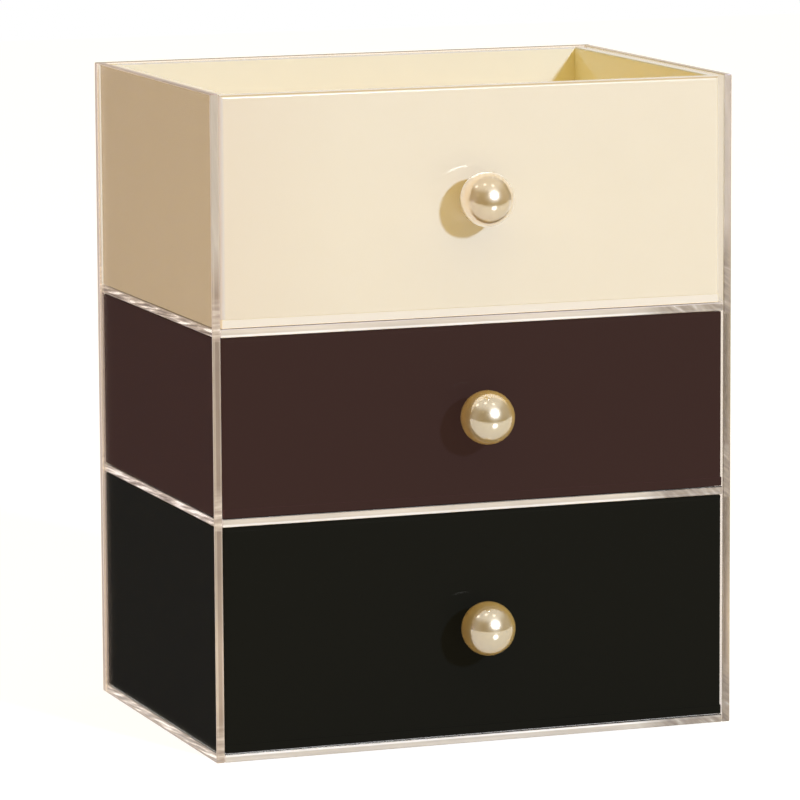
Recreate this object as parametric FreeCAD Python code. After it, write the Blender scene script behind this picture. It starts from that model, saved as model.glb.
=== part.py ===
import FreeCAD, Part

import os

from FreeCAD import Vector

# A makeup organizer: a clear acrylic case without a lid, with three drawers of coloured acrylic
# stacked in it. Each drawer has one pearl knob, held by a screw from inside.
# Millimetres. X runs across the front, Y from the front to the back and Z up. The origin is the
# centre of the case's underside, and the drawers pull out towards -Y.

# The clear case
CASE_WIDTH = 203.0
CASE_DEPTH = 142.0
CASE_SHEET = 3.2
BOTTOM_BAY_HEIGHT = 83.6
MIDDLE_BAY_HEIGHT = 66.0
TOP_BAY_HEIGHT = 85.0
CASE_EDGE_BREAK = 0.3

# The drawers, each five flat panels cemented together
DRAWER_SHEET = 3.2
FRONT_EDGE_RADIUS = 1.5
RIM_BREAK = 0.4
SEAM_BREAK = 0.2

# Room around a drawer in its bay
LEFT_GAP = 0.5
RIGHT_GAP = 0.5
TOP_DRAWER_RIGHT_GAP = 2.0
RUNNING_GAP = 0.2
HEAD_GAP = 0.4
RIM_DROP = 0.5
REAR_GAP = 0.4

# How far each knob stands above the middle of its drawer
TOP_KNOB_RISE = 1.6
MIDDLE_KNOB_RISE = 0.3
BOTTOM_KNOB_RISE = 0.0

# The pearl knob and its metal collar
PEARL_RADIUS = 10.0
PEARL_SEAT_RADIUS = 4.0
COLLAR_LENGTH = 2.3
COLLAR_FOOT_RADIUS = 5.0

# The pan-head screw through the drawer's front into the pearl
SCREW_RADIUS = 1.5
SCREW_ENGAGEMENT = 6.0
HEAD_RADIUS = 2.8
HEAD_HEIGHT = 2.0
HEAD_CROWN = 0.8
RECESS_SPAN = 3.0
RECESS_WIDTH = 0.8
RECESS_DEPTH = 1.0
TIP_BREAK = 0.4
THREAD_CLEARANCE = 0.05
HOLE_CLEARANCE = 0.2
BORE_RUN_OUT = 1.0

# How far apart two points may be and still count as touching
TOUCH = 0.001

HALF_WIDTH = CASE_WIDTH / 2
FRONT = -CASE_DEPTH / 2
REAR = CASE_DEPTH / 2
BACK_PANEL_FACE = REAR - CASE_SHEET
INTO_CASE = Vector(0, 1, 0)
OUT_OF_CASE = Vector(0, -1, 0)


class Block:
    """A box-shaped space: left to right along X, front to back along Y, under to top along Z."""

    def __init__(self, left, right, front, back, under, top):
        self.left = left
        self.right = right
        self.front = front
        self.back = back
        self.under = under
        self.top = top

    def solid(self):
        corner = Vector(self.left, self.front, self.under)
        return Part.makeBox(
            self.right - self.left, self.back - self.front, self.top - self.under, corner
        )


def border(solid, *sides):
    """The edges that lie on the named outermost planes of a solid."""
    box = solid.BoundBox
    planes = {
        "left": ("x", box.XMin),
        "right": ("x", box.XMax),
        "front": ("y", box.YMin),
        "back": ("y", box.YMax),
        "under": ("z", box.ZMin),
        "top": ("z", box.ZMax),
    }
    chosen = []
    for edge in solid.Edges:
        for side in sides:
            axis, level = planes[side]
            if all(abs(getattr(v.Point, axis) - level) < TOUCH for v in edge.Vertexes):
                chosen.append(edge)
                break
    return chosen


def common_border(solid, side, *neighbours):
    """The edges that one outermost plane shares with each of its neighbours."""
    on_side = border(solid, side)
    beside = border(solid, *neighbours)
    return [edge for edge in on_side if any(edge.isSame(other) for other in beside)]


# ---- the clear case ----


def shelf_levels():
    """The underside of the bottom panel and of each shelf above it, from low to high."""
    lower = CASE_SHEET + BOTTOM_BAY_HEIGHT
    upper = lower + CASE_SHEET + MIDDLE_BAY_HEIGHT
    return {"case_bottom": 0.0, "lower_shelf": lower, "upper_shelf": upper}


def case_top():
    return shelf_levels()["upper_shelf"] + CASE_SHEET + TOP_BAY_HEIGHT


def case_side(left, right):
    """A side panel, as long as the case without its back panel."""
    panel = Block(left, right, FRONT, BACK_PANEL_FACE, 0, case_top()).solid()
    return panel.makeChamfer(CASE_EDGE_BREAK, border(panel, "front", "top"))


def case_back():
    """The back panel covers the rear edges of both sides, the bottom and the shelves."""
    panel = Block(-HALF_WIDTH, HALF_WIDTH, BACK_PANEL_FACE, REAR, 0, case_top()).solid()
    return panel.makeChamfer(CASE_EDGE_BREAK, border(panel, "back", "top"))


def case_shelf(under):
    """The bottom or a shelf, cemented between the sides and against the back."""
    inside = HALF_WIDTH - CASE_SHEET
    panel = Block(-inside, inside, FRONT, BACK_PANEL_FACE, under, under + CASE_SHEET).solid()
    return panel.makeChamfer(CASE_EDGE_BREAK, border(panel, "front"))


def case_parts():
    parts = {
        "case_left_side": case_side(-HALF_WIDTH, CASE_SHEET - HALF_WIDTH),
        "case_right_side": case_side(HALF_WIDTH - CASE_SHEET, HALF_WIDTH),
        "case_back": case_back(),
    }
    for name, under in shelf_levels().items():
        parts[name] = case_shelf(under)
    return parts


# ---- one drawer ----


def drawer_space(bay_floor, bay_height, right_gap, room_above):
    """The outside of a drawer, flush with the front of the case."""
    return Block(
        CASE_SHEET + LEFT_GAP - HALF_WIDTH,
        HALF_WIDTH - CASE_SHEET - right_gap,
        FRONT,
        BACK_PANEL_FACE - REAR_GAP,
        bay_floor + RUNNING_GAP,
        bay_floor + bay_height - room_above,
    )


def drawer_floor(space):
    """The floor runs under all four walls, and its front edge shows below the front panel."""
    top = space.under + DRAWER_SHEET
    panel = Block(space.left, space.right, space.front, space.back, space.under, top).solid()
    return panel.makeChamfer(SEAM_BREAK, border(panel, "front"))


def knob_axis(space, knob_rise):
    """Where a knob's axis meets its drawer's front: all knobs line up on the case's middle."""
    return Vector(0, space.front, (space.under + space.top) / 2 + knob_rise)


def drawer_front(space, knob_point):
    """The front panel stands on the floor and covers the front ends of the sides."""
    foot = space.under + DRAWER_SHEET
    back = space.front + DRAWER_SHEET
    panel = Block(space.left, space.right, space.front, back, foot, space.top).solid()
    rounded = common_border(panel, "front", "left", "right", "top")
    panel = panel.makeFillet(FRONT_EDGE_RADIUS, rounded)
    hole = Part.makeCylinder(
        SCREW_RADIUS + HOLE_CLEARANCE, 2 * DRAWER_SHEET, knob_point + OUT_OF_CASE, INTO_CASE
    )
    return panel.cut(hole)


def drawer_side(space, left, right):
    """A side panel stands on the floor between the front and the drawer's rear face."""
    front = space.front + DRAWER_SHEET
    foot = space.under + DRAWER_SHEET
    panel = Block(left, right, front, space.back, foot, space.top).solid()
    return panel.makeChamfer(RIM_BREAK, common_border(panel, "top", "left", "right"))


def drawer_back(space):
    """The back panel stands on the floor between the two sides."""
    left = space.left + DRAWER_SHEET
    right = space.right - DRAWER_SHEET
    front = space.back - DRAWER_SHEET
    foot = space.under + DRAWER_SHEET
    panel = Block(left, right, front, space.back, foot, space.top).solid()
    return panel.makeChamfer(RIM_BREAK, common_border(panel, "top", "front", "back"))


def pearl_knob(knob_point):
    """A ball with a flat seat for the collar and a threaded bore for the screw."""
    seat_depth = (PEARL_RADIUS**2 - PEARL_SEAT_RADIUS**2) ** 0.5
    centre = knob_point + OUT_OF_CASE * (COLLAR_LENGTH + seat_depth)
    seat = knob_point + OUT_OF_CASE * COLLAR_LENGTH
    ball = Part.makeSphere(PEARL_RADIUS, centre)
    behind_seat = Part.makeCylinder(PEARL_RADIUS, PEARL_RADIUS, seat, INTO_CASE)
    bore = Part.makeCylinder(
        SCREW_RADIUS + THREAD_CLEARANCE, SCREW_ENGAGEMENT + BORE_RUN_OUT, seat, OUT_OF_CASE
    )
    return ball.cut(behind_seat).cut(bore)


def knob_collar(knob_point):
    """A tapered metal ring between the drawer's front and the pearl."""
    ring = Part.makeCone(
        COLLAR_FOOT_RADIUS, PEARL_SEAT_RADIUS, COLLAR_LENGTH, knob_point, OUT_OF_CASE
    )
    bore = Part.makeCylinder(
        SCREW_RADIUS + HOLE_CLEARANCE, COLLAR_LENGTH, knob_point, OUT_OF_CASE
    )
    return ring.cut(bore)


def screw_recess(head_face):
    """The cross in the screw's head."""
    cross = Part.makeCompound([])
    for width, height in ((RECESS_SPAN, RECESS_WIDTH), (RECESS_WIDTH, RECESS_SPAN)):
        corner = head_face + Vector(-width / 2, -RECESS_DEPTH, -height / 2)
        cross.add(Part.makeBox(width, RECESS_DEPTH, height, corner))
    return cross


def knob_screw(knob_point):
    """A pan-head screw, its head against the inner face of the drawer's front."""
    seat = knob_point + INTO_CASE * DRAWER_SHEET
    head = Part.makeCylinder(HEAD_RADIUS, HEAD_HEIGHT, seat, INTO_CASE)
    head = head.makeFillet(HEAD_CROWN, border(head, "back"))
    head = head.cut(screw_recess(seat + INTO_CASE * HEAD_HEIGHT))
    length = DRAWER_SHEET + COLLAR_LENGTH + SCREW_ENGAGEMENT
    shank = Part.makeCylinder(SCREW_RADIUS, length, seat, OUT_OF_CASE)
    shank = shank.makeChamfer(TIP_BREAK, border(shank, "front"))
    return head.fuse(shank).removeSplitter()


def drawer_parts(name, space, knob_rise):
    knob_point = knob_axis(space, knob_rise)
    return {
        name + "_floor": drawer_floor(space),
        name + "_front": drawer_front(space, knob_point),
        name + "_left_side": drawer_side(space, space.left, space.left + DRAWER_SHEET),
        name + "_right_side": drawer_side(space, space.right - DRAWER_SHEET, space.right),
        name + "_back": drawer_back(space),
        name + "_pearl_knob": pearl_knob(knob_point),
        name + "_knob_collar": knob_collar(knob_point),
        name + "_knob_screw": knob_screw(knob_point),
    }


# ---- the whole organizer ----


def bay_floor(panel_name):
    """The upper face of the panel that a drawer runs on."""
    return shelf_levels()[panel_name] + CASE_SHEET


def organizer_parts():
    parts = case_parts()
    bottom = drawer_space(bay_floor("case_bottom"), BOTTOM_BAY_HEIGHT, RIGHT_GAP, HEAD_GAP)
    middle = drawer_space(bay_floor("lower_shelf"), MIDDLE_BAY_HEIGHT, RIGHT_GAP, HEAD_GAP)
    top = drawer_space(bay_floor("upper_shelf"), TOP_BAY_HEIGHT, TOP_DRAWER_RIGHT_GAP, RIM_DROP)
    parts.update(drawer_parts("bottom_drawer", bottom, BOTTOM_KNOB_RISE))
    parts.update(drawer_parts("middle_drawer", middle, MIDDLE_KNOB_RISE))
    parts.update(drawer_parts("top_drawer", top, TOP_KNOB_RISE))
    return parts


os.makedirs("parts", exist_ok=True)
for node, shape in organizer_parts().items():
    shape.exportStep(os.path.join("parts", node + ".step"))
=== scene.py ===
import math

import bmesh
import bpy
from mathutils import Matrix, Vector


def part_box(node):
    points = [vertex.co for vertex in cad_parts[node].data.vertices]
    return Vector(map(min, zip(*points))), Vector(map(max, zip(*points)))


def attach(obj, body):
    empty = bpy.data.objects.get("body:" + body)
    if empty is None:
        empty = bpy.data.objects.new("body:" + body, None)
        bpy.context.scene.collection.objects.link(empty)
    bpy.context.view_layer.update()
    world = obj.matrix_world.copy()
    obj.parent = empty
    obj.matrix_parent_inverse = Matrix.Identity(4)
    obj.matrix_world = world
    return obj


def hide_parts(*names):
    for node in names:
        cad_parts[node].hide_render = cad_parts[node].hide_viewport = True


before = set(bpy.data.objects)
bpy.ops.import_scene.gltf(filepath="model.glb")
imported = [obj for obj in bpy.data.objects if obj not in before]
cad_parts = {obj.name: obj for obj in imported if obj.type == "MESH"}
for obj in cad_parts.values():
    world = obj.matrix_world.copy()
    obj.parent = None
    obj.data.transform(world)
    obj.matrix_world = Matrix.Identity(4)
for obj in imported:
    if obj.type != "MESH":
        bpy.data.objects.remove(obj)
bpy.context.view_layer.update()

# ---- camera, as the photograph was taken ----
CAMERA_AT = (-0.6974, -1.9071, 0.4245)
CAMERA_YAW = math.radians(19.98)
CAMERA_PITCH = math.radians(8.58)
CAMERA_ROLL = math.radians(-0.32)
CAMERA_LENS = 243.9
CAMERA_SENSOR = 36.0

# ---- light ----
WHITE = (1.0, 1.0, 1.0)
BLACK = (0.0, 0.0, 0.0)
AIM = Vector((0, 0, 0.15))
KEY_AZIMUTH = math.radians(17.5)
KEY_HEIGHT = math.radians(20.5)
KEY_DISTANCE = 3.0
KEY_SIZE = 0.18
KEY_LIGHT = (0.375, 0.51, 0.87)
GLOSS_AZIMUTH = math.radians(12.1)
GLOSS_HEIGHT = math.radians(22.45)
GLOSS_DISTANCE = 3.1
GLOSS_SIZE = 1.1
GLOSS_LIGHT = (1.45, 1.45, 1.4)
CARD_AZIMUTH = math.radians(-95)
CARD_DISTANCE = 0.9
CARD_WIDTH = 0.7
CARD_HEIGHT = 0.18
CARD_MIDDLE = 0.11
CARD_LIGHT = (0.247, 0.24, 0.46)
SKY_LIGHT = (1.53, 1.21, 0.49)

# ---- the studio that gloss mirrors ----
BACKDROP = (0.88, 0.87, 0.86)
BACKDROP_AZIMUTH = math.radians(20)
BACKDROP_HALF_WIDTH = math.radians(31)
BACKDROP_BLUR = math.radians(4)
ROOM_FRONT = (0.03, 0.035, 0.05)
ROOM_SIDE = (0.17, 0.17, 0.17)
ROOM_BACK = (0.03, 0.03, 0.035)
CEILING = (0.50, 0.50, 0.48)
CEILING_FROM = math.radians(32)
CEILING_TO = math.radians(52)
CEILING_LAMPS = ((-1.655, 0.073, 2.0), (-0.503, -0.503, 2.0), (0.513, -0.953, 2.0))
CEILING_LAMP_RADIUS = math.radians(5)
CEILING_LAMP_BLUR = math.radians(1.5)
CEILING_LAMP_COLOUR = (1.8, 1.65, 1.4)
TABLE_GLOW = (0.66, 0.635, 0.54)
# painted shadow: the mirrored table is darker near the object
TABLE_NEAR_SHADOW = (0.54, 0.52, 0.46)
TABLE_GLOSS = 0.045
TABLE_ROUGHNESS = 0.12
TABLE_FRONT = -0.57
TABLE_BLUR = 0.15
PAPER_GLOW = (0.80, 0.79, 0.75)
PAPER_FRONT = -0.073
PAPER_FRONT_BLUR = 0.01
PAPER_LEFT = -0.103
PAPER_LEFT_BLUR = 0.004
DARK_GLOW = (0.02, 0.02, 0.02)
DARK_SLOPE = 2.2
DARK_BLUR_FROM = -0.012
DARK_BLUR_TO = -0.002
FRONT_TO_SIDE = (-0.75, -0.3)
SIDE_TO_BACK = (-0.1, 0.3)
HALF_A_BOUNCE = 0.5
CLEAR_BOUNCES = 32
GLOSSY_BOUNCES = 16

# ---- the floor itself ----
FLOOR_COLOUR = (0.78, 0.75, 0.7)
SEEN_FLOOR_COLOUR = (0.3, 0.3, 0.3)
SEEN_FLOOR_LIGHT = 0.87
FLOOR_REACH = 3.0

# ---- how far a colour takes to change into the next, in metres ----
THIN_CHANGE = 0.0001
SHORT_CHANGE = 0.001
TINT_CHANGE = 0.002
END_STREAKS_CHANGE = 0.012

# ---- where a turning surface changes its look, by a part of its normal ----
ROUNDED_TURN = (0.95, 0.999)
FACING_TURN = (0.9, 0.95)
CORNER_TURN = (0.05, 0.4)
RIM_TURN = (0.02, 0.06)
UNDERSIDE_TURN = (-0.3, -0.6)
SEAM_TURN = (0.3, 0.6)
UPWARD_TURN = (0.15, 0.4)
SIDEWAYS_TURN = (0.7, 0.95)
FLAT_FACE = 0.99

# ---- clear acrylic ----
ACRYLIC_IOR = 1.49
ACRYLIC_TINT = (0.985, 0.97, 0.945)
# painted shade: the glass is tinted beige by the right wall's edges, darker in the top row: right
# of TINT_FROM, and in front of TINT_TO or at most TINT_DEPTH below the top
UPPER_EDGE_PAINTED_SHADE = (0.722, 0.67, 0.636)
LOWER_EDGE_PAINTED_SHADE = (0.97, 0.895, 0.86)
TINT_FROM = 0.095
TINT_TO = -0.062
TINT_DEPTH = 0.005
# painted shade: a dark tint in the back panel's corners, below the top row, beside the dark
# drawers, by its distance from the middle
CORNER_PAINTED_SHADE = (0.16, 0.10, 0.085)
CORNER_FROM = 0.0974
CORNER_TO = 0.0984

# ---- the panels' sheets ----
CEMENT_LINE = 0.00003
EDGE_ROUND = 0.0004
EDGE_STEPS = 2
EDGE_PROFILE = 0.5
UP_AXIS = 2
SHEET_SLOT, EDGE_SLOT, JOINT_SLOT = range(3)

# ---- cut edges ----
CLEAR_SHARE = 0.2
CLEAR_BLUR = 0.08
HAZE_ROUGHNESS = 0.35
EDGE_GLOSS = 0.1
END_COLOUR = (0.75, 0.69, 0.60)
# a painted glow on the rear faces of cut edges, behind REAR_FROM
REAR_GLOW = (0.70, 0.57, 0.47)
REAR_FROM = 0.06
# painted light: cut edges are brighter near the floor, by a low share below LOW_LEVEL that fades
# out at LOW_LEVEL_TO
LOW_LEVEL = 0.043
LOW_LEVEL_TO = 0.070
WALL_LOW_SHARE = 1.6
SHELF_LOW_SHARE = 1.16
LINES_CHANGE_FROM = 0.015
LINES_CHANGE_TO = 0.034
WANDER_SHARES = (0.88, 1.12)
WANDER_NOISE = (0.3, 0.7)
MARKS_STRENGTH = 0.82
LEFT_MARKS_REACH = 0.014
RIGHT_MARKS_REACH = 0.024
LEFT_MARKS_SHARE = 1.35
RIGHT_MARKS_SHARE = 0.7
SHELF_MARKS_SHARE = 0.85
FULL_MARKS_REACH = 0.5
MARKS_BELOW_JOINT = (-0.003, -0.002)
END_STREAKS_FROM = 0.064
STREAK_DETAIL = 3.0
CEMENT_DETAIL = 4.0
# the noise above which the cement's streaks glow as painted glints
CEMENT_GLOW_NOISE = (0.44, 0.60)
# painted reflection, shade and highlight: the colour across a cut edge, from its dull side at 0 to
# its bright side at 1
LEFT_UPPER_LINES = (
    (0.0, (0.42, 0.37, 0.27)),
    (0.14, (0.49, 0.435, 0.34)),
    (0.80, (0.49, 0.435, 0.335)),
    (0.90, (0.53, 0.47, 0.35)),
    (1.0, (0.53, 0.47, 0.35)),
)
LEFT_LOWER_LINES = (
    (0.0, (0.40, 0.33, 0.235)),
    (0.26, (0.40, 0.33, 0.235)),
    (0.36, (0.25, 0.185, 0.13)),
    (0.74, (0.25, 0.185, 0.13)),
    (0.84, (0.37, 0.30, 0.22)),
    (1.0, (0.37, 0.30, 0.22)),
)
RIGHT_UPPER_LINES = (
    (0.0, (0.49, 0.41, 0.32)),
    (0.5, (0.46, 0.392, 0.306)),
    (0.86, (0.48, 0.407, 0.32)),
    (0.94, (0.84, 0.75, 0.60)),
    (1.0, (0.84, 0.75, 0.60)),
)
RIGHT_LOWER_LINES = (
    (0.0, (0.34, 0.31, 0.17)),
    (0.16, (0.30, 0.235, 0.145)),
    (0.36, (0.22, 0.165, 0.108)),
    (0.62, (0.12, 0.092, 0.055)),
    (0.80, (0.10, 0.07, 0.04)),
    (0.92, (0.30, 0.24, 0.19)),
    (1.0, (0.30, 0.24, 0.19)),
)
SHELF_LINES = (
    (0.0, (0.56, 0.49, 0.40)),
    (0.14, (0.68, 0.60, 0.46)),
    (0.40, (0.71, 0.63, 0.48)),
    (0.52, (0.67, 0.585, 0.445)),
    (0.66, (0.69, 0.61, 0.47)),
    (0.74, (0.98, 0.93, 0.80)),
    (1.0, (0.98, 0.93, 0.80)),
)
BOTTOM_LINES = (
    (0.0, (0.56, 0.49, 0.40)),
    (0.14, (0.64, 0.57, 0.44)),
    (0.60, (0.64, 0.57, 0.44)),
    (0.68, (0.98, 0.93, 0.80)),
    (0.84, (0.98, 0.93, 0.80)),
    (0.90, (0.03, 0.03, 0.03)),
    (1.0, (0.03, 0.03, 0.03)),
)
# painted reflection and shade on the rounding that looks up, across the edge in the same way
LEFT_TOP_LINES = ((0.45, (0.35, 0.26, 0.24)), (0.55, (0.43, 0.33, 0.31)))
RIGHT_TOP_LINES = ((0.45, (0.62, 0.60, 0.72)), (0.55, (0.53, 0.46, 0.49)))
BACK_TOP_LINES = ((0.45, (0.27, 0.21, 0.15)), (0.55, (0.28, 0.22, 0.16)))
UPPER_SHELF_TOP_LINES = ((0.45, (0.66, 0.58, 0.52)), (0.55, (0.66, 0.58, 0.52)))
LOWER_TOP_LINES = ((0.45, (0.02, 0.02, 0.02)), (0.55, (0.02, 0.02, 0.02)))
# the colour of the saw marks, over their noise; their white end is painted glints
SAW_COLOURS = (
    (0.0, (0.22, 0.17, 0.13)),
    (0.38, (0.32, 0.25, 0.19)),
    (0.52, (0.46, 0.38, 0.28)),
    (0.64, (0.60, 0.51, 0.39)),
    (0.72, (0.98, 0.92, 0.82)),
    (1.0, (0.98, 0.92, 0.82)),
)
# the ways of a pattern's fine and long run, in cycles a metre
UPRIGHT_WANDER = ((300.0, 300.0, 40.0), (0.0, 0.0, 25.0))
LEVEL_WANDER = ((0.0, 40.0, 500.0), (22.0, 0.0, 0.0))
LEVEL_MARKS = ((0.0, 0.0, 620.0), (90.0, 0.0, 0.0))
SLANTED_MARKS = ((380.0, 0.0, 520.0), (90.0, 0.0, -60.0))
CEMENT_WAVES = ((0.0, 60.0, 950.0), (0.0, 50.0, 0.0))
# the colour of a glued joint, over its noise; its brightest streaks are painted glints, which glow
CEMENT_COLOURS = (
    (0.0, (0.26, 0.22, 0.19)),
    (0.36, (0.33, 0.29, 0.25)),
    (0.45, (0.62, 0.55, 0.46)),
    (0.54, (0.72, 0.65, 0.55)),
    (0.60, (1.0, 0.97, 0.90)),
    (1.0, (1.0, 0.97, 0.90)),
)
LOWER_CEMENT_COLOURS = (
    (0.0, (0.26, 0.23, 0.20)),
    (0.32, (0.48, 0.44, 0.39)),
    (0.45, (0.86, 0.80, 0.73)),
    (0.54, (0.96, 0.90, 0.82)),
    (0.60, (1.0, 0.98, 0.95)),
    (1.0, (1.0, 0.98, 0.95)),
)

# ---- coloured acrylic ----
CREAM = (0.84, 0.735, 0.52)
# painted shade: the cream front is darker towards its left end
CREAM_LEFT_END_SHADE = (0.795, 0.68, 0.48)
# painted reflection on the cream front's left corner
CREAM_LEFT_CORNER_REFLECTION = (0.70, 0.64, 0.52)
# painted light: lighter copies of the cream for the drawer's walls, for light on their shaded
# faces, lighter still for the inside walls
CREAM_BODY_LIT = (0.88, 0.76, 0.49)
CREAM_INSIDE_LIT = (0.955, 0.885, 0.64)
CREAM_FLOOR_EDGE = (0.85, 0.76, 0.585)
CREAM_GLOSS = 0.5
FRONT_EDGE_ROUGHNESS = 0.5
BODY_EDGE_ROUGHNESS = 0.3
BROWN = (0.0205, 0.0115, 0.0085)
# painted light: a lighter copy of the brown for the drawer's walls, whose forward faces keep the
# brown
BROWN_BODY_LIT = (0.036, 0.0175, 0.0140)
BROWN_GLOSS = 0.003
BLACK_ACRYLIC = (0.0075, 0.0073, 0.0052)
BLACK_ACRYLIC_GLOSS = 0.006
DARK_EDGE_ROUGHNESS = 0.8
# painted light in the shade under the cream floor's front edge
SEAM_PAINTED_GLOW = (0.50, 0.42, 0.36)
# painted glow: light that flattens the dark acrylics' shading and the knobs' shadows on them
BROWN_PAINTED_GLOW = (0.027, 0.0132, 0.0115)
BLACK_PAINTED_GLOW = (0.0040, 0.0037, 0.0026)
LEFT_END = -0.0975
FRONT_MIDDLE = -0.05
MOTTLE_SCALE = 60.0
MOTTLE_DETAIL = 4.0
MOTTLE_SHADE = 0.97
SPECK_CELLS = 70.0
SPECK_RADIUS = 0.0004
SPECK_SHARE = 0.04
SPECK_STRENGTH = 0.45
SPECK_SHADE = 0.45
POLISH_SCALE = 900.0
POLISH_DETAIL = 3.0
POLISH_ROUGHNESSES = (0.015, 0.035)
# painted highlight, shade and reflection over a rounded rim: the colour from its face at 0 to its
# top at 1
CREAM_RIM = (
    (0.0, CREAM),
    (0.12, (0.76, 0.68, 0.51)),
    (0.46, (0.76, 0.68, 0.51)),
    (0.56, (0.56, 0.43, 0.25)),
    (0.80, (0.56, 0.43, 0.25)),
    (0.86, (0.74, 0.71, 0.70)),
    (1.0, (0.74, 0.71, 0.70)),
)
INSIDE_RIM = (
    (0.0, CREAM_INSIDE_LIT),
    (0.30, CREAM_INSIDE_LIT),
    (0.50, (0.68, 0.66, 0.64)),
    (1.0, (0.68, 0.66, 0.64)),
)

# ---- pearls and metal ----
PALE_BODY = (0.98, 0.63, 0.18)
PALE_NACRE = (0.97, 0.96, 0.97)
PALE_NACRE_SHARES = (0.62, 0.84)
# the pearls on the dark drawers: less nacre at the rim lets the golden body show there, a painted
# golden reflection
GOLDEN_BODY = (0.95, 0.62, 0.17)
GOLDEN_NACRE = (0.94, 0.94, 0.94)
GOLDEN_NACRE_SHARES = (0.69, 0.40)
PEARL_RIM = (0.35, 0.75)
PEARL_BODY_ROUGHNESS = 0.3
PEARL_COAT_ROUGHNESS = 0.03
NACRE_ROUGHNESSES = (0.08, 0.3)
NACRE_SOFTNESS = 0.38
BRASS = (0.8, 0.62, 0.35)
BRASS_ROUGHNESS = 0.2
ZINC = (0.6, 0.6, 0.6)
ZINC_ROUGHNESS = 0.3
METAL_GRAIN = 2000.0
METAL_DETAIL = 3.0
METAL_SHARES = (0.8, 1.3)

# ---- the sockets of a node that mixes colours ----
MIX_FACTOR = 0
MIX_FIRST = 6
MIX_SECOND = 7
MIX_RESULT = 2


# ---- node trees ----


def new_node(tree, kind, inputs=None, **attributes):
    """A node with its attributes set and its inputs linked, where a value is a socket, or set."""
    node = tree.nodes.new(kind)
    for name, value in attributes.items():
        setattr(node, name, value)
    for name, value in (inputs or {}).items():
        if isinstance(value, bpy.types.NodeSocket):
            tree.links.new(value, node.inputs[name])
        else:
            node.inputs[name].default_value = value
    return node


def math_node(tree, operation, first, second=0.0):
    return new_node(
        tree, "ShaderNodeMath", {0: first, 1: second}, operation=operation
    ).outputs[0]


def mix_colours(tree, factor, first, second):
    """The first colour at a factor of 0 and the second at 1, each a socket or a plain colour."""
    inputs = {MIX_FACTOR: factor}
    for socket, colour in ((MIX_FIRST, first), (MIX_SECOND, second)):
        linked = isinstance(colour, bpy.types.NodeSocket)
        inputs[socket] = colour if linked else (*colour, 1.0)
    return new_node(tree, "ShaderNodeMix", inputs, data_type="RGBA").outputs[MIX_RESULT]


def mix_shaders(tree, factor, first, second):
    return new_node(tree, "ShaderNodeMixShader", {0: factor, 1: first, 2: second}).outputs[0]


def new_material(name):
    material = bpy.data.materials.new(name)
    material.use_nodes = True
    material.node_tree.nodes.clear()
    return material, material.node_tree


def finish_material(tree, surface):
    new_node(tree, "ShaderNodeOutputMaterial", {"Surface": surface})


def place(tree):
    """The point's place in the row frame, in metres."""
    return new_node(tree, "ShaderNodeTexCoord").outputs["Object"]


def noise(tree, scale, detail, vector=None):
    return new_node(
        tree,
        "ShaderNodeTexNoise",
        {"Vector": vector or place(tree), "Scale": scale, "Detail": detail},
    ).outputs["Fac"]


def ramp(tree, factor, low, high, start=0.0, end=1.0):
    return new_node(
        tree,
        "ShaderNodeMapRange",
        {"Value": factor, "From Min": start, "From Max": end, "To Min": low, "To Max": high},
    ).outputs["Result"]


def between(tree, value, start, end):
    """0 below start, 1 above end."""
    return ramp(tree, value, 0.0, 1.0, start, end)


def colour_ramp(tree, factor, stops):
    """A colour that runs through the stops, each a place from 0 to 1 and a colour."""
    node = new_node(tree, "ShaderNodeValToRGB", {"Fac": factor})
    elements = node.color_ramp.elements
    while len(elements) < len(stops):
        elements.new(1.0)
    for element, (spot, colour) in zip(elements, stops):
        element.position = spot
        element.color = (*colour, 1.0)
    return node.outputs["Color"]


def dot(tree, vector, way):
    return new_node(
        tree, "ShaderNodeVectorMath", {0: vector, 1: way}, operation="DOT_PRODUCT"
    ).outputs["Value"]


def streaks(tree, across, along, detail=STREAK_DETAIL):
    """Noise that is fine along one direction and long along another, both in cycles a metre."""
    spot = place(tree)
    stretched = new_node(
        tree, "ShaderNodeCombineXYZ", {0: dot(tree, spot, across), 1: dot(tree, spot, along)}
    ).outputs[0]
    return noise(tree, 1.0, detail, stretched)


def specks(tree, cells, radius, share):
    """1 on sparse specks: a share of the cells, each a cell a metre, has one in its middle."""
    cell = new_node(
        tree, "ShaderNodeTexVoronoi", {"Vector": place(tree), "Scale": cells}, feature="F1"
    ).outputs
    draw = new_node(tree, "ShaderNodeSeparateColor", {0: cell["Color"]}).outputs[0]
    chosen = math_node(tree, "GREATER_THAN", draw, 1.0 - share)
    reach = radius * cells
    near = ramp(tree, cell["Distance"], 1.0, 0.0, reach / 2, reach)
    return math_node(tree, "MULTIPLY", chosen, near)


# ---- materials ----


def rounded_share(tree):
    """1 on a rounded edge and 0 on a flat face, from how far the normal is off every axis."""
    normal = new_node(tree, "ShaderNodeNewGeometry").outputs["Normal"]
    axes = new_node(tree, "ShaderNodeSeparateXYZ", {0: normal}).outputs
    sizes = [math_node(tree, "ABSOLUTE", axes[axis]) for axis in "XYZ"]
    largest = math_node(tree, "MAXIMUM", math_node(tree, "MAXIMUM", *sizes[:2]), sizes[2])
    return ramp(tree, largest, 1.0, 0.0, *ROUNDED_TURN)


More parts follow.
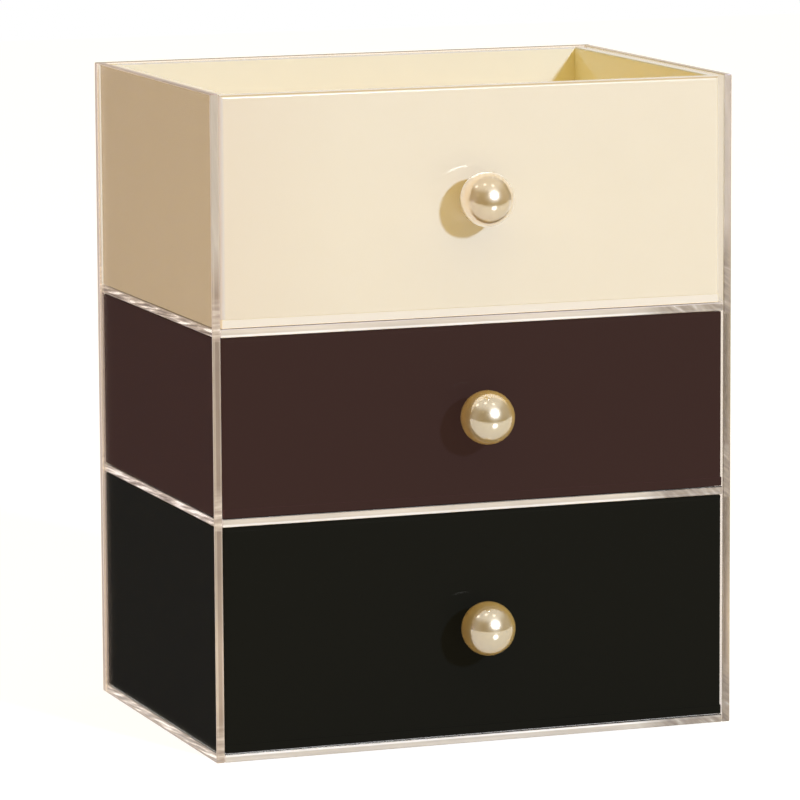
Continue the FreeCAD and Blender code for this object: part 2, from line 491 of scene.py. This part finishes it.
def coloured_acrylic(
    name, colour, gloss, edge_roughness, rim=None, front=None, left_end_shade=None, left_corner_reflection=None,
    glow=BLACK, seam=None,
):
    """Opaque cast acrylic: an even colour with faint mottle, polish and specks. It may have other
    colours on a rounded edge, given as the rim's stops from its face to its top, which paint
    highlight, shade and reflection, and on faces that look forward; a painted shade at its left
    end, and a painted reflection on its left corner. The glow is painted light that flattens its
    shading, and the seam's is painted light in the shade under a front edge that looks down."""
    material, tree = new_material(name)
    rounded = rounded_share(tree)
    normal = new_node(tree, "ShaderNodeNewGeometry").outputs["Normal"]
    rise = new_node(tree, "ShaderNodeSeparateXYZ", {0: normal}).outputs["Z"]
    darker = tuple(MOTTLE_SHADE * c for c in colour)
    base = mix_colours(tree, noise(tree, MOTTLE_SCALE, MOTTLE_DETAIL), darker, colour)
    dust = specks(tree, SPECK_CELLS, SPECK_RADIUS, SPECK_SHARE)
    dusty = math_node(tree, "MULTIPLY", dust, SPECK_STRENGTH)
    base = mix_colours(tree, dusty, base, tuple(SPECK_SHADE * c for c in colour))
    # painted shade towards the left end
    if left_end_shade:
        along = new_node(tree, "ShaderNodeSeparateXYZ", {0: place(tree)}).outputs["X"]
        at_left = ramp(tree, along, 1.0, 0.0, LEFT_END, FRONT_MIDDLE)
        base = mix_colours(tree, at_left, base, left_end_shade)
    # painted reflection on the left corner
    if left_corner_reflection:
        leftward = dot(tree, normal, (-1.0, 0.0, 0.0))
        base = mix_colours(tree, between(tree, leftward, *CORNER_TURN), base, left_corner_reflection)
    if front:
        forward = dot(tree, normal, (0.0, -1.0, 0.0))
        base = mix_colours(tree, between(tree, forward, *FACING_TURN), base, front)
    # painted highlight, shade and reflection on the rounded rim
    if rim:
        rim_colour = colour_ramp(tree, rise, rim)
        base = mix_colours(tree, between(tree, rise, *RIM_TURN), base, rim_colour)
    polish = ramp(tree, noise(tree, POLISH_SCALE, POLISH_DETAIL), *POLISH_ROUGHNESSES)
    dull = math_node(tree, "MULTIPLY", rounded, edge_roughness)
    roughness = math_node(tree, "MAXIMUM", polish, dull)
    # painted glow
    painted_glow = (*glow, 1.0)
    # painted light in the shade under a front edge that looks down
    if seam:
        underside = between(tree, rise, *UNDERSIDE_TURN)
        at_front = between(tree, dot(tree, normal, (0.0, -1.0, 0.0)), *SEAM_TURN)
        painted_glow = mix_colours(tree, math_node(tree, "MULTIPLY", underside, at_front), glow, seam)
    shader = new_node(
        tree,
        "ShaderNodeBsdfPrincipled",
        {
            "Base Color": base,
            "Roughness": roughness,
            "Specular IOR Level": gloss,
            "Emission Color": painted_glow,
            "Emission Strength": 1.0,
        },
    )
    finish_material(tree, shader.outputs[0])
    return material


def lets_light_through(tree, surface):
    """The surface, but clear to light from lamps and to light that pieces scatter."""
    rays = new_node(tree, "ShaderNodeLightPath").outputs
    soft = math_node(tree, "MAXIMUM", rays["Is Shadow Ray"], rays["Is Diffuse Ray"])
    open_air = new_node(tree, "ShaderNodeBsdfTransparent").outputs[0]
    return mix_shaders(tree, soft, surface, open_air)


def clear_glass(tree, roughness=0.0, tint=(*ACRYLIC_TINT, 1.0)):
    return new_node(
        tree,
        "ShaderNodeBsdfPrincipled",
        {
            "Base Color": tint,
            "Roughness": roughness,
            "IOR": ACRYLIC_IOR,
            "Transmission Weight": 1.0,
        },
    ).outputs[0]


def clear_acrylic(name):
    """Clear acrylic with painted shade: it is tinted beige by the right wall's front and top edges,
    most in the top row, and a dark line is painted in the back panel's corners, below the top row,
    beside the dark drawers."""
    material, tree = new_material(name)
    spot = new_node(tree, "ShaderNodeSeparateXYZ", {0: place(tree)}).outputs
    # painted shade: a beige tint by the right wall's front and top edges
    at_front = ramp(tree, spot["Y"], 1.0, 0.0, TINT_TO - TINT_CHANGE, TINT_TO)
    at_right = between(tree, spot["X"], TINT_FROM, TINT_FROM + SHORT_CHANGE)
    tint_base = CASE_TOP - TINT_DEPTH
    at_top = between(tree, spot["Z"], tint_base - SHORT_CHANGE, tint_base)
    near_edge = math_node(tree, "MAXIMUM", at_front, at_top)
    upper_row = between(tree, spot["Z"], UPPER_SHELF_BASE, UPPER_SHELF_BASE + SHORT_CHANGE)
    painted_edge_shade = mix_colours(tree, upper_row, LOWER_EDGE_PAINTED_SHADE, UPPER_EDGE_PAINTED_SHADE)
    at_edge = math_node(tree, "MULTIPLY", near_edge, at_right)
    tint = mix_colours(tree, at_edge, ACRYLIC_TINT, painted_edge_shade)
    # painted shade: a dark line in the back panel's corners, below the top row
    normal = new_node(tree, "ShaderNodeNewGeometry").outputs["Normal"]
    rearward = math_node(tree, "ABSOLUTE", dot(tree, normal, (0.0, 1.0, 0.0)))
    off_middle = math_node(tree, "ABSOLUTE", spot["X"])
    past = between(tree, off_middle, CORNER_FROM, CORNER_FROM + THIN_CHANGE)
    before = ramp(tree, off_middle, 1.0, 0.0, CORNER_TO, CORNER_TO + THIN_CHANGE)
    in_shaded_corner = math_node(tree, "MULTIPLY", past, before)
    on_back = between(tree, rearward, *FACING_TURN)
    below = ramp(tree, upper_row, 1.0, 0.0)
    share = math_node(tree, "MULTIPLY", in_shaded_corner, math_node(tree, "MULTIPLY", on_back, below))
    tint = mix_colours(tree, share, tint, CORNER_PAINTED_SHADE)
    finish_material(tree, lets_light_through(tree, clear_glass(tree, tint=tint)))
    return material


def hazy_edge(material, tree, colour, glow):
    """Hazy acrylic of a colour, partly clear, with a painted glow that stands for light the sheet
    carries to its edge.
    """
    scattering = new_node(
        tree,
        "ShaderNodeBsdfPrincipled",
        {
            "Base Color": colour,
            "Roughness": HAZE_ROUGHNESS,
            "Specular IOR Level": EDGE_GLOSS,
            "Emission Color": glow,
            "Emission Strength": 1.0,
        },
    ).outputs[0]
    both = mix_shaders(tree, CLEAR_SHARE, scattering, clear_glass(tree, CLEAR_BLUR))
    finish_material(tree, lets_light_through(tree, both))
    return material


def above_joints(tree, height, reach):
    """1 from the foot of a joint in the case, falling to 0 at a reach above it."""
    share = 0.0
    for level in JOINT_LEVELS:
        above = math_node(tree, "SUBTRACT", height, level)
        faded = ramp(tree, above, 1.0, 0.0, FULL_MARKS_REACH * reach, reach)
        begun = between(tree, above, *MARKS_BELOW_JOINT)
        share = math_node(tree, "MAXIMUM", share, math_node(tree, "MULTIPLY", faded, begun))
    return share


def cut_edge(
    name, upper_lines, lower_lines, top_lines, low_share, wander_ways, mark_ways, marks_share,
    marks_reach=None,
):
    """A sawn and polished edge, with painted lines of reflection, shade and highlight across it.
    Its brightness wanders, and its saw marks, whose white end is painted glints, reach up from the
    joints or, with no reach, lie near its right end. Its lines change in the top row, and are
    brighter near the floor, which is painted light. Its rounding has other lines of painted
    reflection and shade where it looks up, and its rear face has a painted glow."""
    material, tree = new_material(name)
    across = new_node(tree, "ShaderNodeAttribute", attribute_name="across").outputs["Fac"]
    spot = new_node(tree, "ShaderNodeSeparateXYZ", {0: place(tree)}).outputs
    normal = new_node(tree, "ShaderNodeNewGeometry").outputs["Normal"]
    facing = new_node(tree, "ShaderNodeSeparateXYZ", {0: normal}).outputs
    in_top_row = between(
        tree, spot["Z"], UPPER_SHELF_BASE + LINES_CHANGE_FROM, UPPER_SHELF_BASE + LINES_CHANGE_TO
    )
    # painted lines of reflection, shade and highlight, other ones in the top row
    lower = colour_ramp(tree, across, lower_lines)
    upper = colour_ramp(tree, across, upper_lines)
    colour = mix_colours(tree, in_top_row, lower, upper)
    wander = ramp(tree, streaks(tree, *wander_ways), *WANDER_SHARES, *WANDER_NOISE)
    # painted light: brighter near the floor
    shade = math_node(
        tree, "MULTIPLY", wander, ramp(tree, spot["Z"], low_share, 1.0, LOW_LEVEL, LOW_LEVEL_TO)
    )
    colour = new_node(
        tree, "ShaderNodeVectorMath", {0: colour, "Scale": shade}, operation="SCALE"
    ).outputs[0]
    # saw marks, whose white end is painted glints
    marks = new_node(
        tree,
        "ShaderNodeVectorMath",
        {0: colour_ramp(tree, streaks(tree, *mark_ways), SAW_COLOURS), "Scale": marks_share},
        operation="SCALE",
    ).outputs[0]
    if marks_reach:
        marked = above_joints(tree, spot["Z"], marks_reach)
    else:
        marked = between(tree, spot["X"], END_STREAKS_FROM, END_STREAKS_FROM + END_STREAKS_CHANGE)
    colour = mix_colours(tree, math_node(tree, "MULTIPLY", marked, MARKS_STRENGTH), colour, marks)
    # painted reflection and shade where the rounding looks up
    looks_up = between(tree, facing["Z"], *UPWARD_TURN)
    colour = mix_colours(tree, looks_up, colour, colour_ramp(tree, across, top_lines))
    sideways = between(tree, math_node(tree, "ABSOLUTE", facing["X"]), *SIDEWAYS_TURN)
    colour = mix_colours(tree, sideways, colour, END_COLOUR)
    # painted glow on the rear faces near the back
    rearward = between(tree, math_node(tree, "ABSOLUTE", facing["Y"]), *SIDEWAYS_TURN)
    at_rear = between(tree, spot["Y"], REAR_FROM, REAR_FROM + SHORT_CHANGE)
    glow = mix_colours(tree, math_node(tree, "MULTIPLY", rearward, at_rear), BLACK, REAR_GLOW)
    return hazy_edge(material, tree, colour, glow)


def cement_joint(name, colours):
    """A glued joint, seen through the sheet: wavy streaks of cement and of air, the brightest of
    them painted glints that glow.
    """
    material, tree = new_material(name)
    wavy = streaks(tree, *CEMENT_WAVES, CEMENT_DETAIL)
    colour = colour_ramp(tree, wavy, colours)
    # painted glints: the brightest streaks glow
    bright = between(tree, wavy, *CEMENT_GLOW_NOISE)
    glow = mix_colours(tree, bright, BLACK, colour)
    return hazy_edge(material, tree, colour, glow)


def pearl_lacquer(name, body_colour, nacre_colour, nacre_shares):
    """A golden body under bright nacre, which mirrors partly sharp and partly soft. The nacre's
    shares are those of the middle and of the rim, where it is seen at a flat angle."""
    material, tree = new_material(name)
    body = new_node(
        tree,
        "ShaderNodeBsdfPrincipled",
        {
            "Base Color": (*body_colour, 1.0),
            "Roughness": PEARL_BODY_ROUGHNESS,
            "Coat Weight": 1.0,
            "Coat Roughness": PEARL_COAT_ROUGHNESS,
        },
    ).outputs[0]
    nacre = [
        new_node(
            tree,
            "ShaderNodeBsdfPrincipled",
            {"Base Color": (*nacre_colour, 1.0), "Metallic": 1.0, "Roughness": roughness},
        ).outputs[0]
        for roughness in NACRE_ROUGHNESSES
    ]
    flatness = new_node(tree, "ShaderNodeLayerWeight").outputs["Facing"]
    share = ramp(tree, flatness, *nacre_shares, *PEARL_RIM)
    finish_material(tree, mix_shaders(tree, share, body, mix_shaders(tree, NACRE_SOFTNESS, *nacre)))
    return material


def metal(name, colour, roughness):
    """Polished metal whose roughness changes a little over a fine grain."""
    material, tree = new_material(name)
    grain = noise(tree, METAL_GRAIN, METAL_DETAIL)
    rough = ramp(tree, grain, *[roughness * share for share in METAL_SHARES])
    shader = new_node(
        tree,
        "ShaderNodeBsdfPrincipled",
        {"Base Color": (*colour, 1.0), "Metallic": 1.0, "Roughness": rough},
    )
    finish_material(tree, shader.outputs[0])
    return material


# ---- pieces ----


def dress(node, material):
    """Gives a carried-over CAD node its material."""
    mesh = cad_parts[node].data
    mesh.materials.clear()
    mesh.materials.append(material)


def clear_panel(node, material, edge, joint, bright_side):
    """A panel of the case with polished, slightly rounded edges, a cement line inside its box. A
    level panel's ends at the side walls are joints. Its "across" runs through its thickness,
    from 0 to 1 at the bright side, which is 1 or -1."""
    low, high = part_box(node)
    mesh = bpy.data.meshes.new(node + "_sheet")
    build = bmesh.new()
    bmesh.ops.create_cube(build, size=1.0)
    size = high - low
    middle = (low + high) / 2
    gap = Vector((CEMENT_LINE, CEMENT_LINE, CEMENT_LINE))
    bmesh.ops.scale(build, vec=size - 2 * gap, verts=build.verts)
    bmesh.ops.translate(build, vec=middle, verts=build.verts)
    bmesh.ops.bevel(
        build, geom=build.edges[:], offset=EDGE_ROUND, segments=EDGE_STEPS, affect="EDGES",
        profile=EDGE_PROFILE,
    )
    thin = min(range(3), key=lambda axis: size[axis])
    for face in build.faces:
        face.material_index = EDGE_SLOT
        if abs(face.normal[thin]) > FLAT_FACE:
            face.material_index = SHEET_SLOT
        elif thin == UP_AXIS and abs(face.normal.x) > FLAT_FACE:
            face.material_index = JOINT_SLOT
    build.to_mesh(mesh)
    build.free()
    across = mesh.attributes.new("across", "FLOAT", "POINT")
    for vertex, value in zip(mesh.vertices, across.data):
        from_middle = bright_side * (vertex.co[thin] - middle[thin]) / size[thin]
        value.value = from_middle + 0.5
    for layer in (material, edge, joint):
        mesh.materials.append(layer)
    piece = bpy.data.objects.new(node + "_sheet", mesh)
    bpy.context.scene.collection.objects.link(piece)
    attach(piece, "case")
    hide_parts(node)


UPPER_SHELF_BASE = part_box("upper_shelf")[0].z
CASE_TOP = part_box("case_left_side")[1].z
JOINT_LEVELS = [
    sum(corner.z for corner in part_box(node)) / 2
    for node in ("case_bottom", "lower_shelf", "upper_shelf")
]
clear = clear_acrylic("clear_acrylic")
left_edge, back_edge = [
    cut_edge(
        name, LEFT_UPPER_LINES, LEFT_LOWER_LINES, top_lines, WALL_LOW_SHARE, UPRIGHT_WANDER,
        LEVEL_MARKS, LEFT_MARKS_SHARE, LEFT_MARKS_REACH,
    )
    for name, top_lines in (("left_wall_edge", LEFT_TOP_LINES), ("back_edge", BACK_TOP_LINES))
]
right_edge = cut_edge(
    "right_wall_edge", RIGHT_UPPER_LINES, RIGHT_LOWER_LINES, RIGHT_TOP_LINES, WALL_LOW_SHARE,
    UPRIGHT_WANDER, SLANTED_MARKS, RIGHT_MARKS_SHARE, RIGHT_MARKS_REACH,
)
upper_shelf_edge, lower_shelf_edge, bottom_edge = [
    cut_edge(
        name, lines, lines, top_lines, SHELF_LOW_SHARE, LEVEL_WANDER, SLANTED_MARKS,
        SHELF_MARKS_SHARE,
    )
    for name, lines, top_lines in (
        ("upper_shelf_edge", SHELF_LINES, UPPER_SHELF_TOP_LINES),
        ("lower_shelf_edge", SHELF_LINES, LOWER_TOP_LINES),
        ("bottom_edge", BOTTOM_LINES, LOWER_TOP_LINES),
    )
]
cement = cement_joint("cement_joint", CEMENT_COLOURS)
lower_cement = cement_joint("lower_cement_joint", LOWER_CEMENT_COLOURS)
for node, edge, joint, bright_side in (
    ("case_left_side", left_edge, cement, 1),
    ("case_right_side", right_edge, cement, -1),
    ("case_back", back_edge, cement, -1),
    ("case_bottom", bottom_edge, cement, 1),
    ("lower_shelf", lower_shelf_edge, lower_cement, -1),
    ("upper_shelf", upper_shelf_edge, cement, -1),
):
    clear_panel(node, clear, edge, joint, bright_side)

cream = coloured_acrylic(
    "cream_acrylic", CREAM, CREAM_GLOSS, FRONT_EDGE_ROUGHNESS, CREAM_RIM,
    left_end_shade=CREAM_LEFT_END_SHADE, left_corner_reflection=CREAM_LEFT_CORNER_REFLECTION,
)
# painted light: lighter copies of the cream on the drawer's walls
cream_body_lit = coloured_acrylic("cream_body_lit", CREAM_BODY_LIT, CREAM_GLOSS, BODY_EDGE_ROUGHNESS)
cream_inside_lit = coloured_acrylic(
    "cream_inside_lit", CREAM_INSIDE_LIT, CREAM_GLOSS, BODY_EDGE_ROUGHNESS, INSIDE_RIM
)
cream_floor = coloured_acrylic(
    "cream_floor", CREAM_BODY_LIT, CREAM_GLOSS, BODY_EDGE_ROUGHNESS, front=CREAM_FLOOR_EDGE,
    seam=SEAM_PAINTED_GLOW,
)
brown = coloured_acrylic(
    "brown_acrylic", BROWN, BROWN_GLOSS, DARK_EDGE_ROUGHNESS, glow=BROWN_PAINTED_GLOW
)
# painted light: the lighter brown copy on the walls
brown_body_lit = coloured_acrylic(
    "brown_body_lit", BROWN_BODY_LIT, BROWN_GLOSS, DARK_EDGE_ROUGHNESS, front=BROWN, glow=BROWN_PAINTED_GLOW
)
black = coloured_acrylic(
    "black_acrylic", BLACK_ACRYLIC, BLACK_ACRYLIC_GLOSS, DARK_EDGE_ROUGHNESS, glow=BLACK_PAINTED_GLOW
)
pale_pearl = pearl_lacquer("pale_pearl_lacquer", PALE_BODY, PALE_NACRE, PALE_NACRE_SHARES)
# painted golden reflection at the rims of the pearls on the dark drawers
painted_gold_rim_pearl = pearl_lacquer(
    "painted_gold_rim_pearl_lacquer", GOLDEN_BODY, GOLDEN_NACRE, GOLDEN_NACRE_SHARES
)
brass = metal("collar_brass", BRASS, BRASS_ROUGHNESS)
zinc = metal("screw_zinc", ZINC, ZINC_ROUGHNESS)
for drawer, colour, body, pearl in (
    ("top_drawer", cream, cream_body_lit, pale_pearl),
    ("middle_drawer", brown, brown_body_lit, painted_gold_rim_pearl),
    ("bottom_drawer", black, black, painted_gold_rim_pearl),
):
    dress(drawer + "_front", colour)
    for wall in ("_floor", "_left_side", "_right_side", "_back"):
        dress(drawer + wall, body)
    dress(drawer + "_pearl_knob", pearl)
    dress(drawer + "_knob_collar", brass)
    dress(drawer + "_knob_screw", zinc)
    for part in ("_pearl_knob", "_knob_collar", "_knob_screw"):
        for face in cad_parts[drawer + part].data.polygons:
            face.use_smooth = True
# painted light: the lighter inside copy on the back and right side
dress("top_drawer_back", cream_inside_lit)
dress("top_drawer_right_side", cream_inside_lit)
dress("top_drawer_floor", cream_floor)


# ---- stage ----


def sees_plainly(tree):
    """1 for the camera, straight or through clear sheets, and 0 after any reflection."""
    rays = new_node(tree, "ShaderNodeLightPath").outputs
    unmirrored = math_node(tree, "LESS_THAN", rays["Glossy Depth"], HALF_A_BOUNCE)
    through = math_node(tree, "MULTIPLY", rays["Is Transmission Ray"], unmirrored)
    return math_node(tree, "MAXIMUM", rays["Is Camera Ray"], through)


def studio_floor():
    """A pale floor, white to the camera, also straight through clear sheets. Gloss mirrors it as a
    glossy table, darker near the object by a painted shadow, with white paper under and behind the
    object and a dark patch left of that."""
    material, tree = new_material("studio_floor")
    rays = new_node(tree, "ShaderNodeLightPath").outputs
    spot = new_node(tree, "ShaderNodeSeparateXYZ", {0: place(tree)}).outputs
    on_table = between(tree, spot["Y"], TABLE_FRONT - TABLE_BLUR, TABLE_FRONT + TABLE_BLUR)
    under_paper = between(tree, spot["Y"], PAPER_FRONT, PAPER_FRONT + PAPER_FRONT_BLUR)
    left_of_paper = ramp(tree, spot["X"], 1.0, 0.0, PAPER_LEFT - PAPER_LEFT_BLUR, PAPER_LEFT)
    slanted = dot(tree, place(tree), (DARK_SLOPE, 1.0, 0.0))
    slant_start = DARK_SLOPE * PAPER_LEFT + PAPER_FRONT
    in_dark = between(tree, slanted, slant_start + DARK_BLUR_FROM, slant_start + DARK_BLUR_TO)
    # painted shadow of the object on the mirrored table
    far = ramp(tree, spot["Y"], 1.0, 0.0, TABLE_FRONT, PAPER_FRONT)
    table = mix_colours(tree, on_table, BLACK, mix_colours(tree, far, TABLE_NEAR_SHADOW, TABLE_GLOW))
    left = mix_colours(tree, in_dark, TABLE_GLOW, DARK_GLOW)
    paper = mix_colours(tree, left_of_paper, PAPER_GLOW, left)
    glow = mix_colours(tree, under_paper, table, paper)
    plain = new_node(tree, "ShaderNodeBsdfDiffuse", {"Color": (*FLOOR_COLOUR, 1.0)}).outputs[0]
    glowing = new_node(tree, "ShaderNodeEmission", {"Color": glow}).outputs[0]
    polish = mix_colours(tree, on_table, BLACK, (TABLE_GLOSS, TABLE_GLOSS, TABLE_GLOSS))
    gloss = new_node(
        tree, "ShaderNodeBsdfAnisotropic", {"Color": polish, "Roughness": TABLE_ROUGHNESS}
    ).outputs[0]
    mirrored = new_node(tree, "ShaderNodeAddShader", {0: glowing, 1: gloss}).outputs[0]
    shaded = new_node(
        tree, "ShaderNodeBsdfDiffuse", {"Color": (*SEEN_FLOOR_COLOUR, 1.0)}
    ).outputs[0]
    light = new_node(tree, "ShaderNodeEmission", {"Strength": SEEN_FLOOR_LIGHT}).outputs[0]
    white = new_node(tree, "ShaderNodeAddShader", {0: shaded, 1: light}).outputs[0]
    seen = math_node(tree, "MAXIMUM", rays["Is Glossy Ray"], rays["Is Transmission Ray"])
    surface = mix_shaders(tree, seen, plain, mirrored)
    surface = mix_shaders(tree, sees_plainly(tree), surface, white)
    finish_material(tree, surface)
    mesh = bpy.data.meshes.new("studio_floor")
    side = FLOOR_REACH
    mesh.from_pydata(
        [(-side, -side, 0), (side, -side, 0), (side, side, 0), (-side, side, 0)], [], [(0, 1, 2, 3)]
    )
    mesh.materials.append(material)
    floor = bpy.data.objects.new("studio_floor", mesh)
    bpy.context.scene.collection.objects.link(floor)


def studio_world():
    """Warm soft light all round. The camera sees white, also straight through clear sheets.
    Gloss mirrors a dark room with a pale ceiling and a white backdrop behind the object."""
    world = bpy.data.worlds.new("studio")
    world.use_nodes = True
    tree = world.node_tree
    tree.nodes.clear()
    rays = new_node(tree, "ShaderNodeLightPath").outputs
    way = new_node(tree, "ShaderNodeTexCoord").outputs["Generated"]
    parts = new_node(tree, "ShaderNodeSeparateXYZ", {0: way}).outputs
    height = parts["Z"]
    past_front = between(tree, parts["Y"], *FRONT_TO_SIDE)
    sides = mix_colours(tree, past_front, ROOM_FRONT, ROOM_SIDE)
    room = mix_colours(tree, between(tree, parts["Y"], *SIDE_TO_BACK), sides, ROOM_BACK)
    overhead = between(tree, height, math.sin(CEILING_FROM), math.sin(CEILING_TO))
    room = mix_colours(tree, overhead, room, CEILING)
    for lamp in CEILING_LAMPS:
        towards = dot(tree, way, Vector(lamp).normalized())
        edge = math.cos(CEILING_LAMP_RADIUS + CEILING_LAMP_BLUR)
        lit = between(tree, towards, edge, math.cos(CEILING_LAMP_RADIUS - CEILING_LAMP_BLUR))
        room = mix_colours(tree, lit, room, CEILING_LAMP_COLOUR)
    backdrop = (math.sin(BACKDROP_AZIMUTH), math.cos(BACKDROP_AZIMUTH), 0)
    edge = math.cos(BACKDROP_HALF_WIDTH + BACKDROP_BLUR)
    behind = between(
        tree, dot(tree, way, backdrop), edge, math.cos(BACKDROP_HALF_WIDTH - BACKDROP_BLUR)
    )
    room = mix_colours(tree, behind, room, BACKDROP)
    sky = mix_colours(tree, between(tree, height, 0.0, 1.0), BLACK, SKY_LIGHT)
    mirrored = math_node(tree, "MAXIMUM", rays["Is Glossy Ray"], rays["Is Transmission Ray"])
    colour = mix_colours(tree, mirrored, sky, room)
    colour = mix_colours(tree, sees_plainly(tree), colour, WHITE)
    background = new_node(tree, "ShaderNodeBackground", {"Color": colour, "Strength": 1.0})
    new_node(tree, "ShaderNodeOutputWorld", {"Surface": background.outputs[0]})
    bpy.context.scene.world = world


def lamp_at(name, aim, azimuth, height, distance, size, light):
    """A rectangular lamp that faces a point, and whose light on a surface there that faces it
    is light times a full white."""
    lamp = bpy.data.lights.new(name, "AREA")
    lamp.shape = "RECTANGLE"
    lamp.size, lamp.size_y = size
    strongest = max(light)
    lamp.energy = strongest * math.pi**2 * distance**2
    lamp.color = [share / strongest for share in light]
    obj = bpy.data.objects.new(name, lamp)
    bpy.context.scene.collection.objects.link(obj)
    away = Vector(
        (
            math.sin(azimuth) * math.cos(height),
            -math.cos(azimuth) * math.cos(height),
            math.sin(height),
        )
    )
    obj.location = aim + away * distance
    obj.rotation_euler = away.to_track_quat("Z", "Y").to_euler()
    obj.visible_camera = False
    return obj


def key_lamp():
    """The key light. Gloss shows its softer, wider glow in place of its bulb."""
    key = lamp_at(
        "key", AIM, KEY_AZIMUTH, KEY_HEIGHT, KEY_DISTANCE, (KEY_SIZE, KEY_SIZE), KEY_LIGHT
    )
    key.visible_glossy = False
    glow = lamp_at(
        "key_glow", AIM, GLOSS_AZIMUTH, GLOSS_HEIGHT, GLOSS_DISTANCE,
        (GLOSS_SIZE, GLOSS_SIZE), GLOSS_LIGHT,
    )
    glow.data.shape = "DISK"
    glow.visible_diffuse = False


def side_card():
    """A white card left of the object, lower than its top, which gloss doesn't show."""
    card = lamp_at(
        "side_card", Vector((0, 0, CARD_MIDDLE)), CARD_AZIMUTH, 0.0, CARD_DISTANCE,
        (CARD_WIDTH, CARD_HEIGHT), CARD_LIGHT,
    )
    card.visible_glossy = False
    card.visible_transmission = False


def set_camera():
    """The camera of the photograph. Its yaw turns it right, and its pitch looks down."""
    data = bpy.data.cameras.new("camera")
    data.lens = CAMERA_LENS
    data.sensor_width = CAMERA_SENSOR
    camera = bpy.data.objects.new("camera", data)
    bpy.context.scene.collection.objects.link(camera)
    forward = Vector(
        (
            math.sin(CAMERA_YAW) * math.cos(CAMERA_PITCH),
            math.cos(CAMERA_YAW) * math.cos(CAMERA_PITCH),
            -math.sin(CAMERA_PITCH),
        )
    )
    level_right = Vector((math.cos(CAMERA_YAW), -math.sin(CAMERA_YAW), 0))
    level_up = level_right.cross(forward)
    right = level_right * math.cos(CAMERA_ROLL) + level_up * math.sin(CAMERA_ROLL)
    up = level_up * math.cos(CAMERA_ROLL) - level_right * math.sin(CAMERA_ROLL)
    axes = Matrix((right, up, -forward)).transposed().to_4x4()
    camera.matrix_world = Matrix.Translation(CAMERA_AT) @ axes
    bpy.context.scene.camera = camera


studio_floor()
studio_world()
key_lamp()
side_card()
set_camera()

scene = bpy.context.scene
scene.view_settings.view_transform = "Standard"
scene.cycles.max_bounces = CLEAR_BOUNCES
scene.cycles.transmission_bounces = CLEAR_BOUNCES
scene.cycles.glossy_bounces = GLOSSY_BOUNCES
scene.cycles.transparent_max_bounces = CLEAR_BOUNCES
